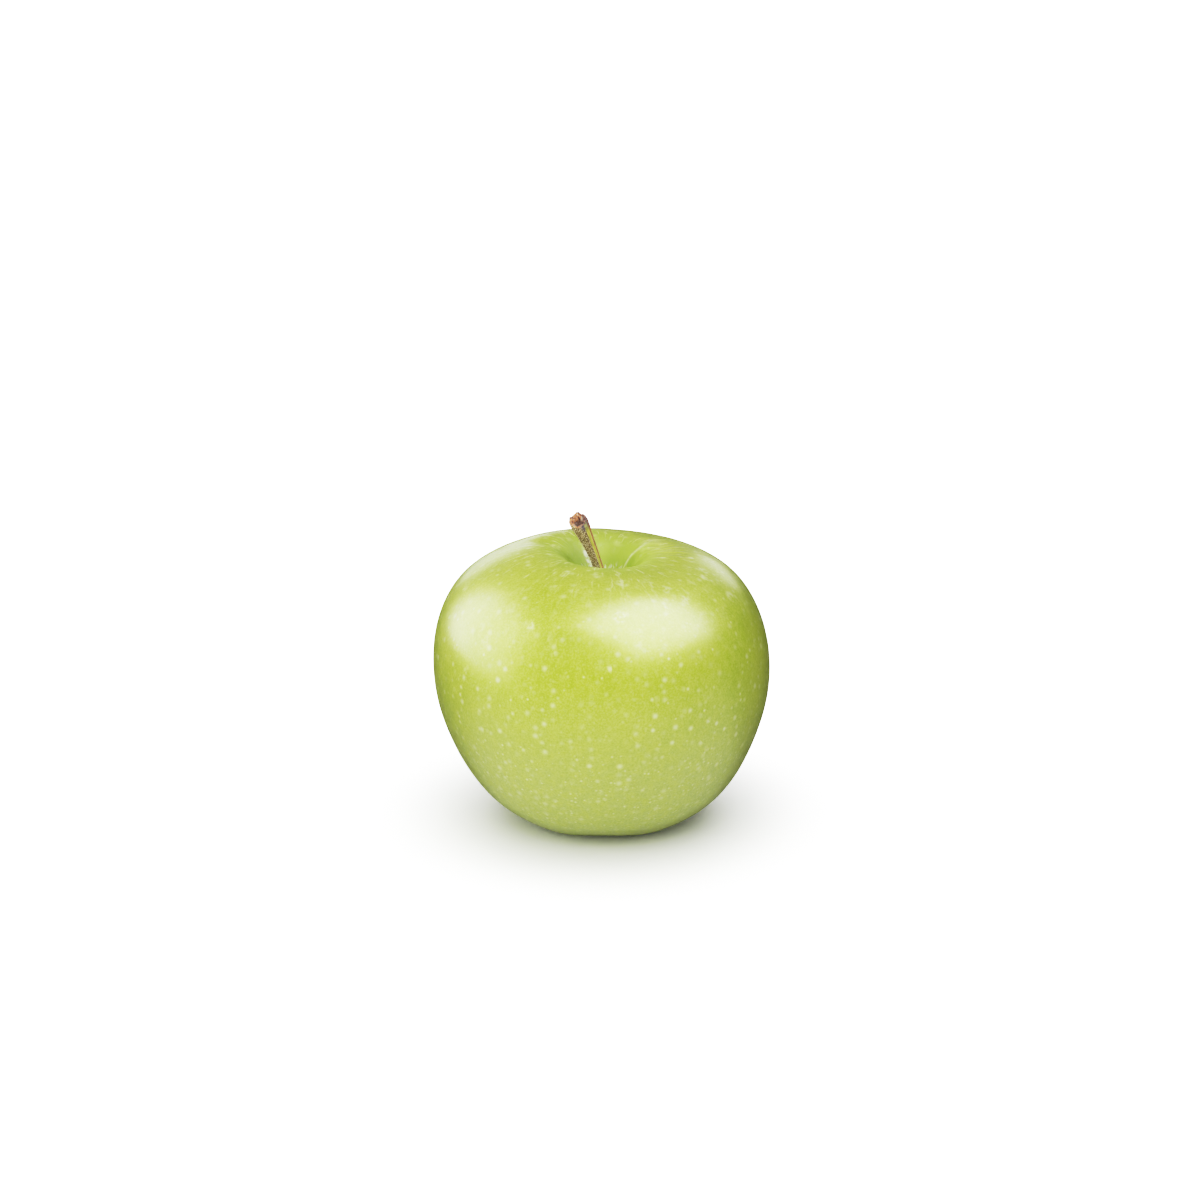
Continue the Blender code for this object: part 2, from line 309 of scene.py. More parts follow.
def outline_points():
    """(radius, height) from the cavity's floor, over the crest and down to the basin's floor."""
    radius = fruit_diameter / 2
    cavity_floor = fruit_height - cavity_depth
    points = [(0.0, cavity_floor)]
    for across, rise in (cavity_throat, cavity_wall):
        points.append((across * crest_radius, cavity_floor + rise * cavity_depth))
    points.append((crest_radius, fruit_height))
    for across, rise in quarter_points(shoulder_fullness):
        points.append(
            (
                crest_radius + (radius - crest_radius) * across,
                widest_height + (fruit_height - widest_height) * rise,
            )
        )
    points.append((radius, widest_height))
    for down, across in quarter_points(flank_fullness):
        points.append((base_radius + (radius - base_radius) * across, widest_height * (1 - down)))
    points.append((base_radius + foot_width / 2, 0.0))
    points.append((base_radius - foot_width / 2, 0.0))
    points.append((basin_wall[0] * base_radius, basin_wall[1] * basin_depth))
    points.append((0.0, basin_depth))
    return np.array(points)


def smooth_curve(points, rows_per_span):
    """Samples of the smooth curve through the points that leaves both ends level."""
    steps = np.linalg.norm(np.diff(points, axis=0), axis=1) ** 0.5
    knots = np.concatenate(([0.0], np.cumsum(steps)))
    count = len(points)
    matrix = np.zeros((count, count))
    right = np.zeros((count, 2))
    matrix[0, 0] = matrix[-1, -1] = 1.0
    right[0] = (np.linalg.norm(points[1] - points[0]) / steps[0], 0.0)
    right[-1] = (-np.linalg.norm(points[-1] - points[-2]) / steps[-1], 0.0)
    slopes = np.diff(points, axis=0) / steps[:, None]
    for i in range(1, count - 1):
        before, after = steps[i - 1], steps[i]
        matrix[i, i - 1 : i + 2] = (after, 2 * (before + after), before)
        right[i] = 3 * (after * slopes[i - 1] + before * slopes[i])
    tangents = np.linalg.solve(matrix, right)
    shares = np.linspace(0.0, count - 1, rows_per_span * (count - 1) + 1)
    wanted = np.interp(shares, np.arange(count), knots)
    spans = np.clip(np.searchsorted(knots, wanted, side="right") - 1, 0, count - 2)
    step = steps[spans][:, None]
    share = (wanted - knots[spans])[:, None] / step
    start, end = points[spans], points[spans + 1]
    leave, arrive = tangents[spans] * step, tangents[spans + 1] * step
    return (
        (1 + 2 * share) * (1 - share) ** 2 * start
        + share * (1 - share) ** 2 * leave
        + share**2 * (3 - 2 * share) * end
        + share**2 * (share - 1) * arrive
    )


def near(value, centre, reach):
    """1 at the centre, falling smoothly to almost 0 past the reach."""
    return np.exp(-(((value - centre) / reach) ** 2))


def near_turn(angle, centre, reach):
    """The same for angles, given in degrees, the short way round."""
    apart = (np.degrees(angle) - centre + 180) % 360 - 180
    return np.exp(-((apart / reach) ** 2))


def rising(value, low, high):
    """0 below low and 1 above high, and smooth between them."""
    share = np.clip((value - low) / (high - low), 0, 1)
    return share * share * (3 - 2 * share)


def axis_offset(height):
    """How far the leaning axis stands from the Z axis at a height."""
    return -lean * (height - widest_height)


def fruit_points(radius, height, angle):
    """Points of the skin: the turned outline with its lobes, its uneven crest and its lean."""
    upper = 1 / (1 + np.exp(-(height - 0.5 * fruit_height) / (0.05 * fruit_height)))
    lobe = (1 - np.cos(lobe_count * (angle - lobe_turn))) / 2
    at_base = radius / base_radius * near(radius, base_radius, lobe_reach) * (1 - upper)
    on_flank = 2 * radius / fruit_diameter * near(height, flank_lobe_height, flank_lobe_reach)
    at_crest = radius / crest_radius * near(radius, crest_radius, crest_dip_reach) * upper
    height = height + (lobe_rise * lobe - foot_flat) * at_base
    height = height - crest_dip * np.cos(angle - crest_dip_turn) * at_crest
    radius = radius - lobe_swell * lobe * on_flank
    in_cavity = near(radius, 0.0, cavity_offset_reach) * upper
    x = axis_offset(height) + cavity_offset * in_cavity + radius * np.cos(angle)
    return np.stack([x, radius * np.sin(angle), np.maximum(height, 0.0)], axis=-1)


def ripple(points, scale, seed):
    """Smooth noise from -1 to 1 at each point. The scale is in waves for each metre."""
    flat = points.reshape(-1, 3) * scale + 13.7 * seed
    values = [noise.noise(Vector(point)) for point in flat]
    return np.array(values).reshape(points.shape[:-1])


def ridge_wave(angle):
    """From -1 to 1 across the fine ridges on the rim."""
    return np.cos(2 * math.pi * angle / ridge_spacing + 1.3 * np.sin(3 * angle))


def on_ridges(radius, angle):
    """1 where the fine ridges are the strongest, falling to 0 round them."""
    return near_turn(angle, ridge_turn, ridge_spread) * near(radius, ridge_radius, ridge_reach)


def skin_relief(points, radius, height, along, angle):
    """How far the grown skin stands proud of the smooth shape."""
    upper = rising(height, 0.4 * fruit_height, 0.6 * fruit_height)
    unrolled = np.stack(
        np.broadcast_arrays(np.cos(angle), np.sin(angle), along + 0 * angle), axis=-1
    )
    relief = swell_rise * ripple(points, 75, 1) + grain_rise * ripple(points, 330, 2)
    # Pleats run over the crest and down into the cavity, the strongest on the right
    pleats = ripple(unrolled * (9.0, 9.0, 60.0), 1.0, 3)
    right_side = 0.35 + 0.65 * near_turn(angle, pleats_turn, pleats_spread)
    over_crest = upper * near(radius, pleats_radius, pleats_reach)
    relief = relief + pleats_rise * pleats * right_side * over_crest
    relief = relief + ridge_rise * ridge_wave(angle) * on_ridges(radius, angle) * upper
    # A sharp fold stands out on the wall behind the stem to the right, with a furrow beside it
    on_wall = upper * rising(radius, *fold_inner) * (1 - rising(radius, *fold_outer))
    fold_turn = np.interp(radius, fold_radii, fold_turns)
    relief = relief + fold_rise * near_turn(angle, fold_turn, fold_spread) * on_wall
    furrow = near_turn(angle, fold_turn - furrow_apart, furrow_spread)
    relief = relief - furrow_depth * furrow * on_wall
    # A shallow valley leads over the crest on the left
    valley = near_turn(angle, valley_turn, valley_spread) * upper
    relief = relief - valley_depth * valley * near(radius, valley_radius, valley_reach)
    # The flesh swells up round the foot of the stem
    relief = relief + collar_rise * upper * near(radius, collar_radius, collar_reach)
    # Narrow ribs gather in the basin, round the calyx
    ribs = rib_rise * ripple(unrolled * (3.2, 3.2, 30.0), 1.0, 4)
    ribs = ribs + even_rib_rise * np.cos(2 * lobe_count * angle)
    relief = relief + ribs * (1 - upper) * near(radius, rib_radius, rib_reach)
    clear_of_floor = np.where(upper > 0.5, 1.0, rising(points[..., 2], 0.0002, 0.0030))
    return relief * clear_of_floor


def add_piece(name, points, faces, material):
    """A smooth-shaded piece that rides on the apple and takes the slot's finish."""
    mesh = bpy.data.meshes.new(name)
    mesh.from_pydata([tuple(point) for point in points], [], faces)
    mesh.shade_smooth()
    mesh.materials.append(material)
    piece = bpy.data.objects.new(name, mesh)
    scene.collection.objects.link(piece)
    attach(piece, "root")
    return piece


def keep_values(piece, name, vectors):
    """Stores three values on each point, which the material reads by name."""
    made = piece.data.attributes.new(name, "FLOAT_VECTOR", "POINT")
    made.data.foreach_set("vector", np.asarray(vectors, dtype=np.float32).ravel())


outline = smooth_curve(outline_points(), fruit_rows_per_span)
run = np.concatenate(([0.0], np.cumsum(np.linalg.norm(np.diff(outline, axis=0), axis=1))))
# The seam of the unrolled skin is at the back
angle = math.pi / 2 + 2 * math.pi * np.arange(fruit_sides)[None, :] / fruit_sides
radius, height = outline[1:-1, :1], outline[1:-1, 1:]
points = fruit_points(radius, height, angle)
around = np.roll(points, -1, axis=1) - np.roll(points, 1, axis=1)
downward = np.gradient(points, axis=0)
normals = np.cross(downward, around)
normals /= np.linalg.norm(normals, axis=-1, keepdims=True)
relief = skin_relief(points, radius, height, run[1:-1, None], angle)
points = points + relief[..., None] * normals
points[..., 2] = np.maximum(points[..., 2], 0.0)

rows = len(points)
poles = [
    (axis_offset(outline[0][1]) + cavity_offset, 0, outline[0][1]),
    (axis_offset(outline[-1][1]), 0, outline[-1][1]),
]
vertices = [*points.reshape(-1, 3).tolist(), *poles]
top_pole, bottom_pole = rows * fruit_sides, rows * fruit_sides + 1
faces, corners_uv = [], []
v = (1 - run / run[-1]).tolist()
for i in range(rows + 1):
    for j in range(fruit_sides):
        k = (j + 1) % fruit_sides
        left, right = j / fruit_sides, (j + 1) / fruit_sides
        if i == 0:
            faces.append((top_pole, j, k))
            corners_uv += [((left + right) / 2, v[0]), (left, v[1]), (right, v[1])]
        elif i == rows:
            above = (i - 1) * fruit_sides
            faces.append((bottom_pole, above + k, above + j))
            corners_uv += [((left + right) / 2, v[-1]), (right, v[-2]), (left, v[-2])]
        else:
            above, below = (i - 1) * fruit_sides, i * fruit_sides
            faces.append((above + j, below + j, below + k, above + k))
            corners_uv += [(left, v[i]), (left, v[i + 1]), (right, v[i + 1]), (right, v[i])]

waxed_flesh = {"IOR": 1.45, "Coat Roughness": 0.22, "Subsurface Weight": 0.12}
waxed_flesh |= {"Subsurface Radius": (1.0, 0.85, 0.25), "Subsurface Scale": 0.003}
skin, tree, shader = new_material("apple_skin", waxed_flesh)
fruit = add_piece("apple_fruit", vertices, faces, skin)
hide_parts("fruit")
unrolled_map = fruit.data.uv_layers.new(name="OFBake")
unrolled_map.data.foreach_set("uv", np.array(corners_uv, dtype=np.float32).ravel())
growth = np.stack(np.broadcast_arrays(np.cos(angle), np.sin(angle), run[1:-1, None]), axis=-1)
growth = np.concatenate([growth.reshape(-1, 3), [(0, 0, 0), (0, 0, run[-1])]])
keep_values(fruit, "growth", growth)
# Marks: the edge of the sharp fold, the scurf behind the stem to the left, and the fine ridges
fold_edge = near_turn(angle, np.interp(radius, fold_radii, fold_turns), fold_edge_spread)
fold_edge = fold_edge * rising(radius, *fold_edge_inner)
fold_edge = fold_edge * (1 - rising(radius, *fold_edge_outer))
scurf = near_turn(angle, scurf_turn, scurf_spread) * near(radius, scurf_radius, scurf_reach)
ridged = (0.5 + 0.5 * ridge_wave(angle)) * on_ridges(radius, angle)
on_top = height > widest_height
marks = np.broadcast_arrays(fold_edge * on_top, scurf * on_top, ridged * on_top)
marks = np.stack(marks, axis=-1).reshape(-1, 3)
keep_values(fruit, "marks", np.concatenate([marks, np.zeros((2, 3))]))


def new_group(name, inputs):
    """An empty shader group that puts out a mask. Inputs are (name, value), None for a vector."""
    group = bpy.data.node_groups.new(name, "ShaderNodeTree")
    for socket, value in inputs:
        kind = "NodeSocketVector" if value is None else "NodeSocketFloat"
        made = group.interface.new_socket(socket, in_out="INPUT", socket_type=kind)
        if value is not None:
            made.default_value = value
    group.interface.new_socket("Mask", in_out="OUTPUT", socket_type="NodeSocketFloat")
    return group, add_node(group, "NodeGroupInput").outputs, add_node(group, "NodeGroupOutput")


def use_group(tree, group, inputs):
    """The mask of a group that is placed in a material's tree with its values."""
    return add_node(tree, "ShaderNodeGroup", inputs, node_tree=group).outputs["Mask"]


def mottled(tree, place, scale, detail, roughness=0.5):
    """Cloudy noise round 0.5, by the place on the piece."""
    inputs = {"Vector": place, "Scale": scale, "Detail": detail, "Roughness": roughness}
    return add_node(tree, "ShaderNodeTexNoise", inputs).outputs["Fac"]


def stored(tree, name):
    """The three values that are kept on each point under a name."""
    return add_node(tree, "ShaderNodeAttribute", attribute_name=name).outputs["Vector"]


def two_tone(tree, mask, low, high, first, second):
    """Goes from one colour to another as the mask goes from low to high."""
    return mixed(tree, between(tree, mask, low, high), paint(first), paint(second))


def laid_over(tree, colour, mask, low, high, most, code):
    """The colour with another over it, up to its most as the mask goes from low to high."""
    return mixed(tree, between(tree, mask, low, high, 0.0, most), colour, paint(code))


def dress(tree, shader, colour, roughness, height, strength, distance):
    """Gives a finish its colour, its roughness and the fine relief of its surface."""
    tree.links.new(colour, shader.inputs["Base Color"])
    tree.links.new(roughness, shader.inputs["Roughness"])
    inputs = {"Height": height, "Strength": strength, "Distance": distance}
    raised = add_node(tree, "ShaderNodeBump", inputs)
    tree.links.new(raised.outputs["Normal"], shader.inputs["Normal"])


# Pale spots: the centres of a cell pattern, each with its own size and strength
pale_spots, asked, group_out = new_group(
    "pale_spots", [("Position", None), ("Cells", 400.0), ("Size", 0.2), ("Softness", 0.5)]
)
pattern = {"Vector": asked["Position"], "Scale": asked["Cells"]}
cells = add_node(pale_spots, "ShaderNodeTexVoronoi", pattern)
lot = add_node(pale_spots, "ShaderNodeSeparateColor", {0: cells.outputs["Color"]})
own_size = between(pale_spots, lot.outputs[0], 0.0, 1.0, 0.45, 1.15)
reach = times(pale_spots, asked["Size"], own_size)
core = times(pale_spots, reach, maths(pale_spots, "SUBTRACT", 1.0, asked["Softness"]))
spot = between(pale_spots, cells.outputs["Distance"], core, reach, 1.0, 0.0)
own_strength = between(pale_spots, lot.outputs[1], 0.1, 0.9, 0.3, 1.0)
pale_spots.links.new(times(pale_spots, spot, own_strength), group_out.inputs["Mask"])

# Grown streaks: noise drawn out along the way that the piece grew
streaks, asked, group_out = new_group(
    "grown_streaks", [("Growth", None), ("Around", 60.0), ("Along", 200.0), ("Detail", 3.0)]
)
drawn_out = {}
for axis, waves in (("X", "Around"), ("Y", "Around"), ("Z", "Along")):
    drawn_out[axis] = times(streaks, axis_part(streaks, asked["Growth"], axis), asked[waves])
drawn_out = add_node(streaks, "ShaderNodeCombineXYZ", drawn_out).outputs["Vector"]
threads = mottled(streaks, drawn_out, 1.0, asked["Detail"], 0.6)
streaks.links.new(threads, group_out.inputs["Mask"])


def streaked(tree, grown, around, along, detail=3.0):
    """The streaks of a finish, by how fine they are around the piece and along it."""
    inputs = {"Growth": grown, "Around": around, "Along": along, "Detail": detail}
    return use_group(tree, streaks, inputs)


position = add_node(tree, "ShaderNodeTexCoord").outputs["Object"]
level = axis_part(tree, position, "Z")
grown = stored(tree, "growth")
from_stem = axis_part(tree, grown, "Z")  # along the skin, from the cavity's floor
cavity_edges = (0.024, 0.015)  # where the cavity's look comes in and where it is full

broad = mottled(tree, position, 48.0, 2.0)
mottle = mottled(tree, position, 520.0, 4.0, 0.65)
fine = streaked(tree, grown, 30.0, 420.0, 5.0)
speckle = mottled(tree, position, 2300.0, 2.0, 0.7)
colour = two_tone(tree, broad, 0.3, 0.7, "b1c230", "bac842")
# Mask, low, high, most and colour of each tint over the green
for tint in (
    # The first tint is a painted reflection of the white table below, paler and greyer over the
    # lower half
    (level, 0.046, 0.016, 1.0, "bac66c"),  # the lower half is paler and greyer
    (from_stem, 0.100, 0.112, 1.0, "a3ad62"),  # the basin is dull
    (mottle, 0.38, 0.72, 0.40, "c6cf55"),
    (fine, 0.42, 0.78, 0.40, "ccd46a"),
    (speckle, 0.45, 0.72, 0.30, "dde28c"),
    (speckle, 0.50, 0.28, 0.35, "9eae24"),
    (from_stem, *cavity_edges, 0.9, "98ae00"),  # the cavity is a deep green
):
    colour = laid_over(tree, colour, *tint)

# Pale strokes run in towards the stem over the crest, and the throat is whitish and downy
strokes = streaked(tree, grown, 20.0, 230.0)
over_crest = between(tree, from_stem, 0.014, 0.019)
over_crest = times(tree, over_crest, between(tree, from_stem, 0.040, 0.020))
stroke_share = times(tree, between(tree, strokes, 0.55, 0.70, 0.0, 0.75), over_crest)
colour = mixed(tree, stroke_share, colour, paint("e6eaa8"))
down = streaked(tree, grown, 16.0, 700.0, 4.0)
throat = between(tree, from_stem, 0.0115, 0.0080)
downy = maths(tree, "ADD", down, times(tree, throat, 0.22))
down_share = times(tree, between(tree, downy, 0.60, 0.74, 0.0, 0.75), throat)
colour = mixed(tree, down_share, colour, paint("efefd6"))
# The fold has a broken pale edge, the ridges catch the light, and the scurf is flaky
marks = stored(tree, "marks")
fold_mark, scurf_mark, ridge_mark = (axis_part(tree, marks, axis) for axis in "XYZ")
fold_share = times(tree, fold_mark, between(tree, down, 0.35, 0.55, 0.2275, 0.65))
colour = mixed(tree, fold_share, colour, paint("e4e8b4"))
colour = mixed(tree, times(tree, ridge_mark, 0.55), colour, paint("dfe58c"))
flaky = between(tree, mottle, 0.38, 0.58, 0.1, 0.9)
scurf_share = times(tree, between(tree, scurf_mark, 0.1, 0.7), flaky)
colour = mixed(tree, scurf_share, colour, paint("f2f1dc"))

# Large spots, a dust of small ones low down, and soft blotches on the shoulder. Each kind has its
# cells in a metre, its size and softness as shares of a cell, and what thins it out
spots = 0.0
for cell_count, size, softness, thinning in (
    (500.0, 0.50, 1.0, ((level, 0.008, 0.022, 0.60, 1.0), (level, 0.046, 0.057, 1.0, 0.6))),
    (930.0, 0.42, 1.0, ((level, 0.034, 0.018, 0.25, 1.0),)),
    (210.0, 0.40, 0.6, ((level, 0.044, 0.055, 0.05, 0.85), (mottle, 0.40, 0.62, 0.0, 1.0))),
):
    inputs = {"Position": position, "Cells": cell_count, "Size": size, "Softness": softness}
    kind = use_group(tree, pale_spots, inputs)
    for thinned in thinning:
        kind = times(tree, kind, between(tree, *thinned))
    spots = maths(tree, "MAXIMUM", spots, kind)
spots = times(tree, spots, between(tree, from_stem, 0.012, 0.022, 0.15, 1.0))
colour = mixed(tree, spots, colour, paint("e0e6a4"))

# The wax is thin and dull in the cavity
roughness = maths(tree, "ADD", 0.30, times(tree, spots, 0.12))
roughness = maths(tree, "ADD", roughness, between(tree, from_stem, *cavity_edges, 0.0, 0.3))
roughness = maths(tree, "ADD", roughness, between(tree, mottle, 0.3, 0.7, 0.0, 0.08))
wax = between(tree, from_stem, *cavity_edges, 0.5, 0.04)
tree.links.new(wax, shader.inputs["Coat Weight"])
pores = mottled(tree, position, 2600.0, 2.0)
skin_height = maths(tree, "ADD", times(tree, pores, 0.7), times(tree, fine, 0.6))
skin_height = maths(tree, "SUBTRACT", skin_height, times(tree, spots, 0.25))
dress(tree, shader, colour, roughness, skin_height, 0.6, 0.00006)


# ------------------------------------------------------------ stem
# The stalk that held the apple to the tree: a woody rod, thicker at its torn end, where it was
# pulled off the spur. Mealy brown bark covers it, apart from a strip on the right where the green
# shows through.

stem_length = 0.0200
stem_lean = math.radians(18)
stem_lean_turn = math.radians(190)
stem_waist_radius = 0.0011
stem_foot_radius = 0.0016
stem_tip_radius = 0.0021
joint_gap = 0.0003  # between the fruit and what grows out of it
stem_sides = 96
stem_rows = 150
stem_root = 0.0010  # how far the wood runs on into the flesh, below the foot
tear_slope = 0.0016  # how much lower the torn end is on its lowest side
rim_ragged, rim_sharp = 0.00035, 0.00020  # how uneven the torn rim is, in broad and in fine
tear_turn = 285  # degrees, the way that the torn end faces
cup_depth = 0.0011
cup_slope = 0.25  # share of the rim's slope that the middle of the cup follows
furrow_rise, meal_rise, lump_rise, splinter_rise = 0.00011, 0.00005, 0.00009, 0.00022
peel_depth = 0.00010
peel_turn, brown_turn, peel_spread = -50, -16, 17  # the bare strip and its brown edge, in degrees
stem_bow = 0.0002  # how far the middle of the stem bows towards -X


def height_at(curve, wanted):
    """Height of the outline where it first reaches a radius, counted from its first point."""
    radii, heights = curve[:, 0], curve[:, 1]
    end = int(np.argmax(radii >= wanted))
    share = (wanted - radii[end - 1]) / (radii[end] - radii[end - 1])
    return float(heights[end - 1] + share * (heights[end] - heights[end - 1]))


stem_outline = np.array(
    [
        (0.0, 1.12 * stem_foot_radius),
        (0.04, stem_foot_radius),
        (0.14, 0.40 * stem_foot_radius + 0.55 * stem_waist_radius),
        (0.35, 0.93 * stem_waist_radius),
        (0.60, 1.07 * stem_waist_radius),
        (0.80, 0.45 * stem_waist_radius + 0.47 * stem_tip_radius),
        (0.92, 0.93 * stem_tip_radius),
        (0.97, stem_tip_radius),
        (1.0, 0.95 * stem_tip_radius),
    ]
)
coarse = smooth_curve(outline_points(), 3)
foot_edge = height_at(coarse, stem_foot_radius) - 0.04 * stem_length
foot_height = max(height_at(coarse, 0.5 * stem_foot_radius), foot_edge) + joint_gap
foot = Vector((axis_offset(foot_height) + cavity_offset, 0, foot_height))
tip = foot + stem_length * Vector(
    (
        math.sin(stem_lean) * math.cos(stem_lean_turn),
        math.sin(stem_lean) * math.sin(stem_lean_turn),
        math.cos(stem_lean),
    )
)
bend = foot + Vector((-stem_bow, 0, 0.34 * stem_length))


def along_stem(share):
    """(centre, sideways, backwards) of the bent stem at a share of its length."""
    centre = (1 - share) ** 2 * foot + 2 * share * (1 - share) * bend + share**2 * tip
    along = ((1 - share) * (bend - foot) + share * (tip - bend)).normalized()
    sideways = Vector((0, 1, 0)).cross(along).normalized()
    return centre, sideways, along.cross(sideways)


def ring_faces(start, count, sides):
    """Faces that join rings of points, from a mesh's start point on."""
    made = []
    for row in range(start, start + (count - 1) * sides, sides):
        for side in range(sides):
            here, beside = row + side, row + (side + 1) % sides
            made.append((here, beside, beside + sides, here + sides))
    return made


turns = 2 * math.pi * np.arange(stem_sides) / stem_sides
bark_rows = np.linspace(-stem_root / stem_length, 1.0, stem_rows)
# Past the rim, each row is (share of the tip's radius, how deep in the cup)
cup_rows = [(0.90, -0.10), (0.80, -0.12), (0.72, 0.02), (0.66, 0.25), (0.61, 0.50), (0.56, 0.75)]
cup_rows += [(0.50, 0.92), (0.42, 1.0), (0.32, 1.0), (0.22, 0.92), (0.12, 0.86), (0.05, 0.84)]
lowered = tear_slope * (1 + np.cos(turns - math.radians(tear_turn))) / 2
ragged, sharp = (
    np.array([noise.noise(Vector((w * math.cos(t), w * math.sin(t), seed))) for t in turns])
    for w, seed in ((2.6, 5.0), (8.0, 9.0))
)
rim_drop = lowered - tear_slope / 2 - rim_ragged * ragged - rim_sharp * sharp
peeled = near_turn(turns, peel_turn, peel_spread)
brown_edge = near_turn(turns, brown_turn, peel_spread)
round_stem = list(zip(*(values.tolist() for values in (turns, rim_drop, peeled, brown_edge))))

stem_points, stem_growth, stem_marks = [], [], []
for share in bark_rows.tolist():
    # The last rows crowd up under the torn rim
    near_tip = max(0.0, (share - 0.8) / 0.2)
    width = float(np.interp(max(share, 0.0), stem_outline[:, 0], stem_outline[:, 1]))
    for turn, drop, bare, brown in round_stem:
        real_share = share - near_tip * drop / stem_length
        centre, sideways, backwards = along_stem(real_share)
        way = math.cos(turn) * sideways + math.sin(turn) * backwards
        length = real_share * stem_length
        at = Vector((math.cos(turn) * 1.5, math.sin(turn) * 1.5, length * 1000))
        furrow = noise.noise(Vector((at.x * 1.9, at.y * 1.9, at.z * 0.10)))
        meal = noise.noise(at * 2.3)
        lump = noise.noise(at * 0.55 + Vector((7, 3, 1)))
        rough = 1 - 0.75 * bare
        grown_out = width + furrow_rise * furrow + (meal_rise * meal + lump_rise * lump) * rough
        grown_out -= peel_depth * bare
        stem_points.append(centre + way * grown_out)
        stem_growth.append((math.cos(turn) * 0.0015, math.sin(turn) * 0.0015, length))
        stem_marks.append((bare, brown, 0.0))
for share_out, depth in cup_rows:
    for turn, drop, _, _ in round_stem:
        lift = cup_slope + (1 - cup_slope) * share_out
        real_share = 1 - (drop * lift + depth * cup_depth) / stem_length
        centre, sideways, backwards = along_stem(real_share)
        way = math.cos(turn) * sideways + math.sin(turn) * backwards
        at = Vector((math.cos(turn) * 2.2, math.sin(turn) * 2.2, 0)) * share_out
        at.z = depth * 1.4
        splinter = noise.noise(at * 1.6)
        grown_out = stem_tip_radius * (share_out + 0.13 * splinter * min(1.0, 2.2 * share_out))
        splinter = noise.noise(at * 2.4 + Vector((3, 8, 2)))
        centre = centre + Vector((0, 0, splinter_rise * splinter))
        stem_points.append(centre + way * grown_out)
        stem_growth.append(
            (math.cos(turn) * grown_out, math.sin(turn) * grown_out, real_share * stem_length)
        )
        stem_marks.append((max(0.0, depth), 0.0, 1.0))
cup_floor = float(np.mean(rim_drop)) * cup_slope + cup_rows[-1][1] * cup_depth
stem_points.append(along_stem(1 - cup_floor / stem_length)[0])
stem_growth.append((0, 0, 0.95 * stem_length))
stem_marks.append((1.0, 0.0, 1.0))
stem_faces = ring_faces(0, stem_rows + len(cup_rows), stem_sides)
cup_centre, root_centre = len(stem_points) - 1, len(stem_points)
last = cup_centre - stem_sides
stem_faces += [(last + j, last + (j + 1) % stem_sides, cup_centre) for j in range(stem_sides)]
stem_points.append(along_stem(-stem_root / stem_length)[0])
stem_growth.append((0, 0, -stem_root))
stem_marks.append((0.0, 0.0, 0.0))
stem_faces += [((j + 1) % stem_sides, j, root_centre) for j in range(stem_sides)]

bark, tree, shader = new_material("stem_bark")
stem = add_piece("apple_stem", stem_points, stem_faces, bark)
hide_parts("stem")
keep_values(stem, "growth", stem_growth)
keep_values(stem, "marks", stem_marks)

grown = stored(tree, "growth")
marks = stored(tree, "marks")
bare, brown, torn = (axis_part(tree, marks, axis) for axis in "XYZ")  # torn wood: bare is depth
fibres = streaked(tree, grown, 6000.0, 700.0, 4.0)
meal = mottled(tree, grown, 4200.0, 3.0, 0.7)
colour = two_tone(tree, fibres, 0.35, 0.65, "7a6138", "a98f5e")
colour = laid_over(tree, colour, meal, 0.52, 0.58, 0.9, "e6d8b6")
colour = laid_over(tree, colour, meal, 0.46, 0.39, 0.8, "4a3823")
# A dark purple-grey painted sheen lies on one side of the end
painted_sheen_side = {0: grown, 1: (620.0, -180.0, 0.0)}
painted_sheen = add_node(tree, "ShaderNodeVectorMath", painted_sheen_side, operation="DOT_PRODUCT")
painted_sheen = between(tree, painted_sheen.outputs["Value"], 0.15, 0.65)
painted_sheen = times(tree, between(tree, axis_part(tree, grown, "Z"), 0.0178, 0.0190), painted_sheen)
colour = mixed(tree, times(tree, painted_sheen, 0.85), colour, paint("453848"))
strip = two_tone(tree, fibres, 0.35, 0.65, "b9b43c", "e3da78")
colour = mixed(tree, between(tree, bare, 0.35, 0.75), colour, strip)
edge = two_tone(tree, fibres, 0.35, 0.65, "8a4a1c", "cf8d3c")
colour = mixed(tree, between(tree, brown, 0.15, 0.55), colour, edge)
# The torn wood is reddish brown with pale pith, and painted shade darkens it down in its hollow
wood = two_tone(tree, meal, 0.38, 0.62, "94501f", "e8ae74")
pith = mottled(tree, grown, 1500.0, 2.0)
wood = laid_over(tree, wood, pith, 0.52, 0.66, 0.8, "f0dcc0")
wood = laid_over(tree, wood, pith, 0.45, 0.34, 0.9, "3c2026")
# Painted shade: the deeper into the hollow, the darker
wood = laid_over(tree, wood, bare, 0.35, 0.95, 0.85, "2c1512")
colour = mixed(tree, torn, colour, wood)
# The painted sheen lies over the torn wood too
colour = mixed(tree, times(tree, painted_sheen, 0.6), colour, paint("453848"))
roughness = between(tree, bare, 0.3, 0.8, 0.80, 0.45)
bark_height = maths(tree, "ADD", fibres, times(tree, meal, 0.8))
dress(tree, shader, colour, roughness, bark_height, 0.8, 0.00008)


# ------------------------------------------------------------ sepals
# Five leaves of the old flower, dried and woolly. They stand down from the basin's floor, gather
# round the middle and curl out at their tips.

sepal_count = 5
sepal_tip_height = 0.0009
sepal_half_width = 0.00115
sepal_thickness = 0.00028
sepal_run = 0.0042  # its length along the face
sepal_curl = 0.0009  # how far the tip curls out
sepal_root_radius = 0.0030
sepal_root_room = 0.0004  # how far outside that radius the basin's floor is measured
sepal_waist_radius = 0.0024
sepal_tip_radius = 0.0033
sepal_rows = 30
sepal_columns = 15
hairs_per_sepal = 90
hair_widths = (0.000028, 0.000022, 0.000008)
hair_length = (0.00035, 0.0007)  # the shortest and the longest
hair_root, hair_sag = 0.00008, 0.00012
root_sink = 0.0006  # how far what grows in the basin runs on into the flesh

chance = random.Random(5)


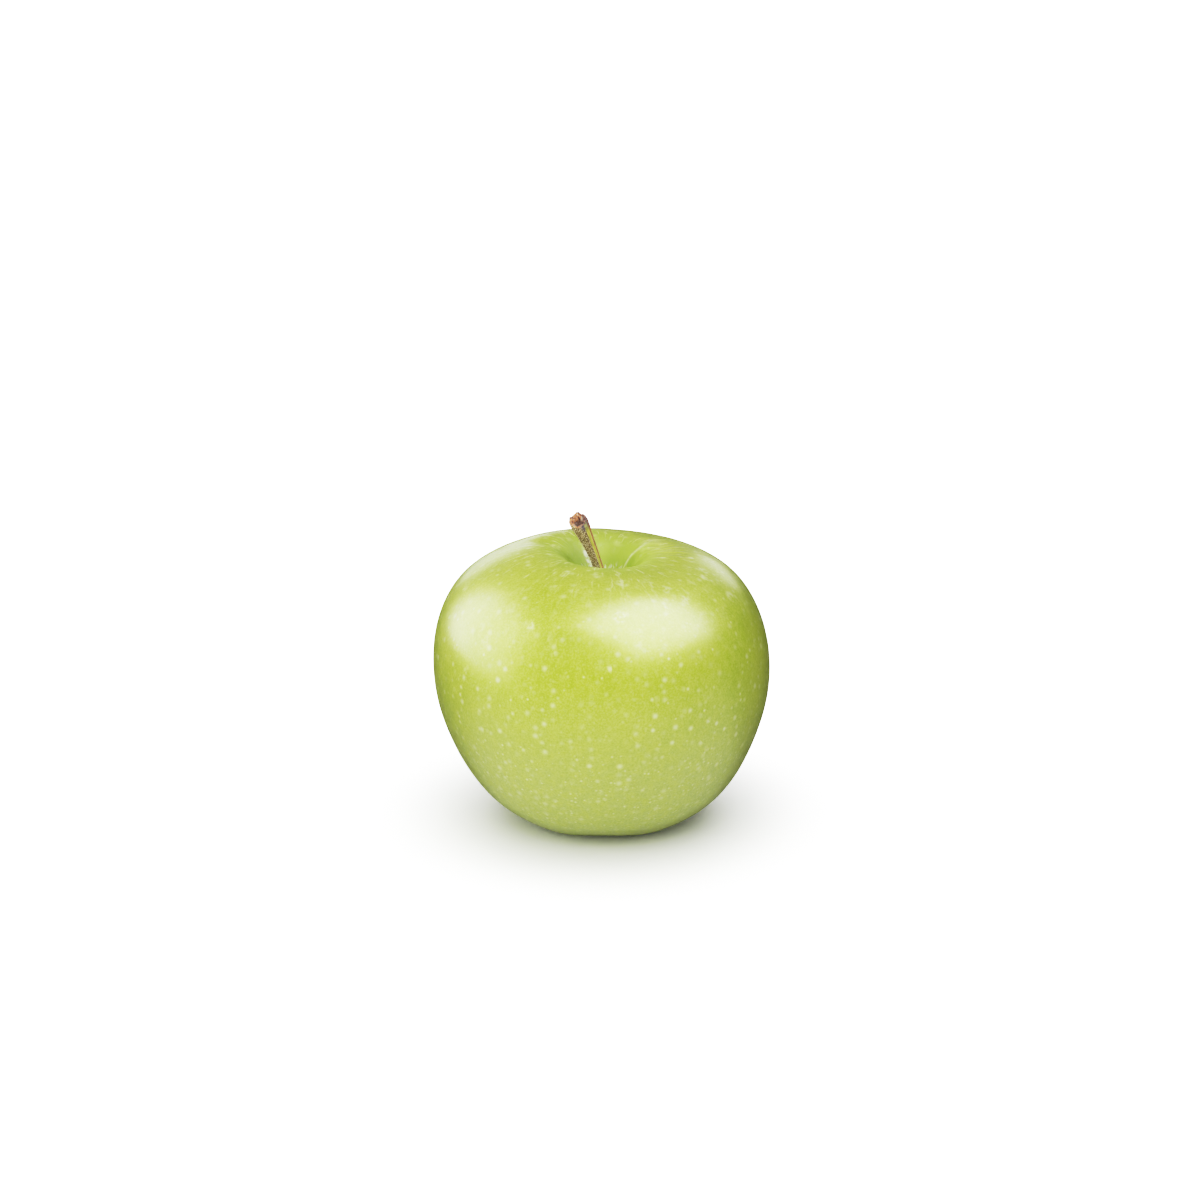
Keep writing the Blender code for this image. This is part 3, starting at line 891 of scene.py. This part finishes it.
def ways_at(turn):
    """(outward, sideways) at a turn round the axis."""
    outward = Vector((math.cos(turn), math.sin(turn), 0))
    return outward, Vector((-outward.y, outward.x, 0))


def add_tube(points, faces, growth, path, widths, sides):
    """Adds one closed tapering tube along a path to a mesh's lists."""
    start = len(points)
    for number, (centre, width) in enumerate(zip(path, widths)):
        before, after = path[max(number - 1, 0)], path[min(number + 1, len(path) - 1)]
        along = (after - before).normalized()
        across = along.cross(Vector((0.31, 0.87, 0.38))).normalized()
        other = along.cross(across)
        run_along = (centre - path[0]).length
        for side in range(sides):
            turn = 2 * math.pi * side / sides
            way = math.cos(turn) * across + math.sin(turn) * other
            points.append(centre + width * way)
            growth.append((math.cos(turn) * width, math.sin(turn) * width, run_along))
    last = start + (len(path) - 1) * sides
    faces += ring_faces(start, len(path), sides)
    faces.append(tuple(start + side for side in reversed(range(sides))))
    faces.append(tuple(last + side for side in range(sides)))


def sepal_point(outward, sideways, root, twist, across, share, lift):
    """A point of a sepal: from -1 to 1 across, a share from root to tip, lifted off its face."""
    down = Vector((0, 0, sepal_tip_height - root.z))
    drawn_in = math.sin(math.pi * share)
    radius = (1 - share) * sepal_root_radius + share * sepal_tip_radius
    radius -= drawn_in * ((sepal_root_radius + sepal_tip_radius) / 2 - sepal_waist_radius)
    curl = max(0.0, share - 0.72) / 0.28
    radius += sepal_curl * curl**1.5
    drop = share - 0.06 * curl**2
    half = sepal_half_width * (1.0 - 0.25 * share) * (1 - share**2.6) ** 0.8
    hollow = 0.45 * half * across**2 - 0.00014 * math.exp(-((across / 0.22) ** 2))
    wave = 0.00016 * across * math.sin(9 * share + twist)
    turned = 0.35 * math.sin(2.2 * share + twist) * across * half * 0.6
    middle = root + outward * (radius - hollow + wave + turned + lift) + drop * down
    return middle + across * half * sideways + 0.25 * share * half * math.sin(twist) * sideways


dried, tree, shader = new_material("dried_sepal", {"Sheen Weight": 0.3})
sepal_root_height = height_at(coarse[::-1], sepal_root_radius + sepal_root_room) - joint_gap
for number in range(1, sepal_count + 1):
    outward, sideways = ways_at(2 * math.pi * (number - 1) / sepal_count)
    root = Vector((axis_offset(sepal_root_height), 0, sepal_root_height + root_sink))
    twist = chance.uniform(0, 6.3)
    points, faces, growth = [], [], []
    for side in (1, -1):
        for row in range(sepal_rows):
            share = row / sepal_rows
            for column in range(sepal_columns):
                across = 2 * column / (sepal_columns - 1) - 1
                edge = (1 - across**6) ** 0.5
                lift = side * sepal_thickness / 2 * (0.35 + 0.65 * edge) * (1 - 0.5 * share)
                points.append(sepal_point(outward, sideways, root, twist, across, share, lift))
                growth.append((across * 0.001, lift, share * sepal_run))
    face_size = sepal_rows * sepal_columns
    for row in range(sepal_rows - 1):
        for column in range(sepal_columns - 1):
            a = row * sepal_columns + column
            b, c, d = a + 1, a + 1 + sepal_columns, a + sepal_columns
            faces.append((a, b, c, d))
            faces.append((d + face_size, c + face_size, b + face_size, a + face_size))
    for row in range(sepal_rows - 1):
        for column in (0, sepal_columns - 1):
            a = row * sepal_columns + column
            quad = (a, a + sepal_columns, a + sepal_columns + face_size, a + face_size)
            faces.append(quad if column == 0 else quad[::-1])
    last = (sepal_rows - 1) * sepal_columns
    for column in range(sepal_columns - 1):
        faces.append((column + 1, column, column + face_size, column + 1 + face_size))
    sepal_tip = len(points)
    points.append(sepal_point(outward, sideways, root, twist, 0.0, 1.0, 0.0))
    growth.append((0, 0, sepal_run))
    for column in range(sepal_columns - 1):
        faces.append((last + column, last + column + 1, sepal_tip))
        faces.append((last + column + 1 + face_size, last + column + face_size, sepal_tip))
    for column, flip in ((0, 1), (sepal_columns - 1, -1)):
        faces.append((last + column, sepal_tip, last + column + face_size)[::flip])
    for _ in range(hairs_per_sepal):
        across, share = chance.uniform(-0.95, 0.95), chance.uniform(0.05, 0.92)
        side = chance.choice((1, -1, 1))
        start = sepal_point(outward, sideways, root, twist, across, share, side * hair_root)
        way = outward * side * chance.uniform(0.3, 1.0)
        way += sideways * chance.uniform(-0.7, 0.7) + Vector((0, 0, chance.uniform(-0.9, 0.1)))
        way = way.normalized() * chance.uniform(*hair_length)
        sag = Vector((chance.uniform(-1, 1), chance.uniform(-1, 1), -0.4)) * hair_sag
        path = [start, start + way * 0.5 + sag, start + way + sag * 0.5]
        add_tube(points, faces, growth, path, hair_widths, 3)
    sepal = add_piece(f"apple_sepal_{number}", points, faces, dried)
    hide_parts(f"sepal_{number}")
    keep_values(sepal, "growth", growth)

grown = stored(tree, "growth")
veins = streaked(tree, grown, 7000.0, 900.0)
blotch = mottled(tree, grown, 1400.0, 3.0)
colour = two_tone(tree, veins, 0.35, 0.68, "5d4c33", "a3946f")
colour = laid_over(tree, colour, blotch, 0.50, 0.70, 0.7, "c7bb9c")
colour = laid_over(tree, colour, axis_part(tree, grown, "Z"), 0.0028, 0.0042, 0.7, "43301d")
roughness = between(tree, blotch, 0.3, 0.7, 0.75, 0.95)
dress(tree, shader, colour, roughness, veins, 0.8, 0.00006)


# ------------------------------------------------------------ stamens
# The withered threads of the old flower, in a ring inside the sepals. Each is a thin brown
# filament, bent as it dried, and most still carry a shrunken anther.

stamen_count = 18
stamen_outer_radius = 0.0016
stamen_ring_radius = 0.00135
stamen_height = 0.0026
filament_widths = (0.00013, 0.00007)  # at its root and at its tip
filament_steps = 8
filament_bow = (0.00004, 0.00012)  # the least and the most that a step bows inwards
anther_drops = (0.00005, 0.00015, 0.00025, 0.00035, 0.00040)  # below the filament's tip
anther_widths = (0.00013, 0.00021, 0.00022, 0.00015, 0.00005)

withered, tree, shader = new_material("withered_filament")
stamen_root = height_at(coarse[::-1], stamen_outer_radius) - joint_gap
points, faces, growth = [], [], []
for number in range(stamen_count):
    turn = 2 * math.pi * (number + chance.uniform(-0.25, 0.25)) / stamen_count
    outward, sideways = ways_at(turn)
    length = stamen_height * chance.uniform(0.80, 1.12)
    lean_out, lean_side = chance.uniform(-0.0005, 0.0005), chance.uniform(-0.0006, 0.0006)
    root = Vector((axis_offset(stamen_root), 0, stamen_root + root_sink))
    root += outward * stamen_ring_radius
    path, widths = [], []
    for step in range(filament_steps + 1):
        share = step / filament_steps
        bow = math.sin(math.pi * share) * chance.uniform(*filament_bow)
        path.append(
            root
            + outward * (lean_out * share**2 - bow)
            + sideways * lean_side * share**1.5
            + Vector((0, 0, -(length + root_sink) * share))
        )
        widths.append(filament_widths[0] + (filament_widths[1] - filament_widths[0]) * share)
    if number % 5 != 3:
        anther = path[-1]
        path += [anther + Vector((0, 0, -drop)) for drop in anther_drops]
        widths += anther_widths
    add_tube(points, faces, growth, path, widths, 8)
stamens = add_piece("apple_stamens", points, faces, withered)
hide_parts("stamens")
keep_values(stamens, "growth", growth)

grown = stored(tree, "growth")
threads = streaked(tree, grown, 9000.0, 1500.0)
colour = two_tone(tree, threads, 0.35, 0.65, "3b2414", "7c5734")
colour = laid_over(tree, colour, axis_part(tree, grown, "Z"), 0.0024, 0.0034, 0.7, "a07c3c")
roughness = between(tree, threads, 0.3, 0.7, 0.7, 0.9)
dress(tree, shader, colour, roughness, threads, 0.7, 0.00004)


# ------------------------------------------------------------ styles
# Five withered styles in the middle of the calyx, grown together at the root and a little apart at
# their blunt ends. They dried with the stamens, to the same brown.

style_height = 0.0032
style_radius = 0.0006
style_steps = 10
style_widths = (0.00034, 0.00032, 0.00029, 0.00026, 0.00023, 0.00020, 0.00018, 0.00017)
style_widths += (0.00021, 0.00026, 0.00014)  # the blunt end swells and closes

style_root = height_at(coarse[::-1], style_radius) - joint_gap
points, faces, growth = [], [], []
for number in range(lobe_count):
    outward, _ = ways_at(2 * math.pi * (number + 0.5) / lobe_count)
    length = style_height * chance.uniform(0.9, 1.04)
    path = []
    for step in range(style_steps + 1):
        share = step / style_steps
        spread = 0.00022 + 0.00028 * share**2.5 + chance.uniform(-0.00002, 0.00002)
        drop = (length + root_sink) * share
        centre = Vector((axis_offset(style_root), 0, style_root + root_sink - drop))
        path.append(centre + outward * spread)
    add_tube(points, faces, growth, path, style_widths, 10)
styles = add_piece("apple_styles", points, faces, withered)
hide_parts("styles")
keep_values(styles, "growth", growth)
